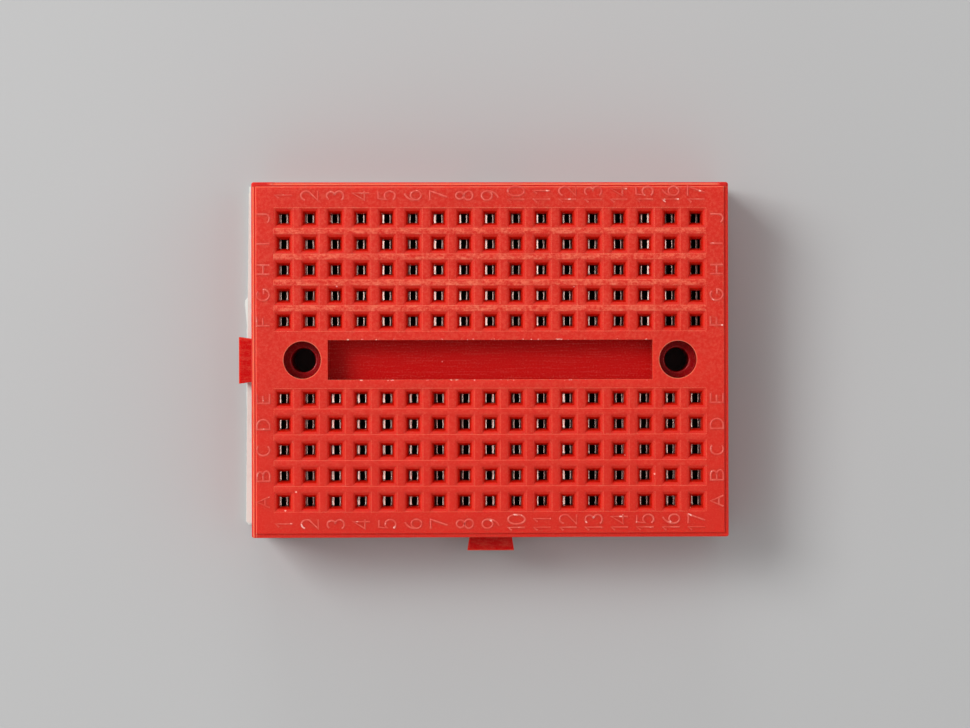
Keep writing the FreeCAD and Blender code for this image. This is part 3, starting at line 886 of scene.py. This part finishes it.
def foam_pad(material):
    """The foam tape: a knife-cut edge, slightly bulged and uneven."""
    base = with_left_edge(outline("foam_tape", 0.22 * MM), FOAM_LEFT)
    loops = []
    levels = 7
    for i in range(levels):
        share = i / (levels - 1)
        z = foam_low.z + (foam_high.z - foam_low.z) * share
        bulge = 0.05 * MM * math.sin(math.pi * share) - 0.05 * MM
        loop = wavy(base, 0.03 * MM, 1.7 * MM, 3 + share * 0.8)
        loop = wavy(loop, 0.03 * MM, 0.35 * MM, 9 + share * 3)
        shaped = [p + sideways(loop, k) * bulge for k, p in enumerate(loop)]
        loops.append([Vector((p.x, p.y, z)) for p in shaped])
    piece = slab("foam_pad", material, loops)
    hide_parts("foam_tape")
    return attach(piece, BOARD)


def liner_sheet(material):
    """The release liner: thin paper, cut unevenly along the left edge."""
    edge = with_left_edge(outline("release_liner", 0.15 * MM), LINER_LEFT)
    edge = wavy(edge, 0.03 * MM, 2.5 * MM, 21)
    edge = wavy(edge, 0.03 * MM, 0.5 * MM, 27)
    loops = [[Vector((p.x, p.y, z)) for p in edge] for z in (liner_low.z, liner_high.z)]
    piece = slab("liner_paper", material, loops)
    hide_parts("release_liner")
    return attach(piece, LINER)


# ---- Floor, lights and camera ----------------------------------------------------------------


def floor(material):
    """A large plane at the board's foot."""
    builder = bmesh.new()
    bmesh.ops.create_grid(builder, x_segments=1, y_segments=1, size=1.5)
    piece = new_piece("floor", builder, material)
    piece.location.z = cad_bounds[0].z


def area_light(name, place, size, power):
    """A square soft light aimed at the middle of the board's foot."""
    data = bpy.data.lights.new(name, "AREA")
    data.shape = "SQUARE"
    data.size = size
    data.energy = power
    lamp = bpy.data.objects.new(name, data)
    bpy.context.scene.collection.objects.link(lamp)
    lamp.location = place
    lamp.rotation_mode = "QUATERNION"
    lamp.rotation_quaternion = (-Vector(place)).to_track_quat("-Z", "Y")


def surround():
    """Even white light from all round, dimmed straight overhead, where the camera hangs."""
    world = bpy.data.worlds.new("studio")
    bpy.context.scene.world = world
    world.use_nodes = True
    nodes, links = world.node_tree.nodes, world.node_tree.links
    direction = nodes.new("ShaderNodeTexCoord")
    parts = nodes.new("ShaderNodeSeparateXYZ")
    dimming = nodes.new("ShaderNodeMapRange")
    dimming.interpolation_type = "SMOOTHSTEP"
    for name, number in (("From Min", 0.84), ("From Max", 0.95), ("To Min", 0.70), ("To Max", 0.08)):
        dimming.inputs[name].default_value = number
    links.new(direction.outputs["Generated"], parts.inputs["Vector"])
    links.new(parts.outputs["Z"], dimming.inputs["Value"])
    background = nodes["Background"]
    background.inputs["Color"].default_value = (1, 1, 1, 1)
    links.new(dimming.outputs["Result"], background.inputs["Strength"])


def studio():
    """Soft light from the upper left, a low one behind, an even surround, and two glints."""
    surround()
    area_light("key_light", (-0.465, 0.251, 0.533), 0.35, 3.95)
    area_light("back_light", (-0.05, 0.75, 0.20), 0.30, 1.0)
    for side in (-1, 1):
        area_light(f"glint_light_{side + 2}", (side * 0.30, 0.03, 0.74), 0.14, 0.18)
    bpy.context.scene.view_settings.view_transform = "Standard"


def camera():
    """Above the board with a slight lean, evened out by a shift, so that its walls just disappear."""
    data = bpy.data.cameras.new("camera")
    eye = bpy.data.objects.new("camera", data)
    bpy.context.scene.collection.objects.link(eye)
    bpy.context.scene.camera = eye
    distance = 300 * MM
    width_seen = 95.53 * MM  # at the height of the ribs
    lean = math.radians(1.4)
    roll = math.radians(-0.12)
    data.sensor_width = 36
    data.lens = data.sensor_width * distance / width_seen
    data.shift_x = -math.tan(lean) * data.lens / data.sensor_width
    data.clip_start = 0.01
    data.clip_end = 10
    eye.location = (-0.53 * MM, -0.42 * MM, TOP + distance)
    eye.rotation_euler = (0, -lean, roll)


paint_node("housing", red_plastic())
index_marks(mark_plastic())
metal = clip_metal()
for bank_name in BANKS:
    for column_number in range(COLUMNS):
        contact_clip(bank_name, column_number, metal)
foam_pad(foam())
liner_sheet(paper())
floor(table_top())
studio()
camera()
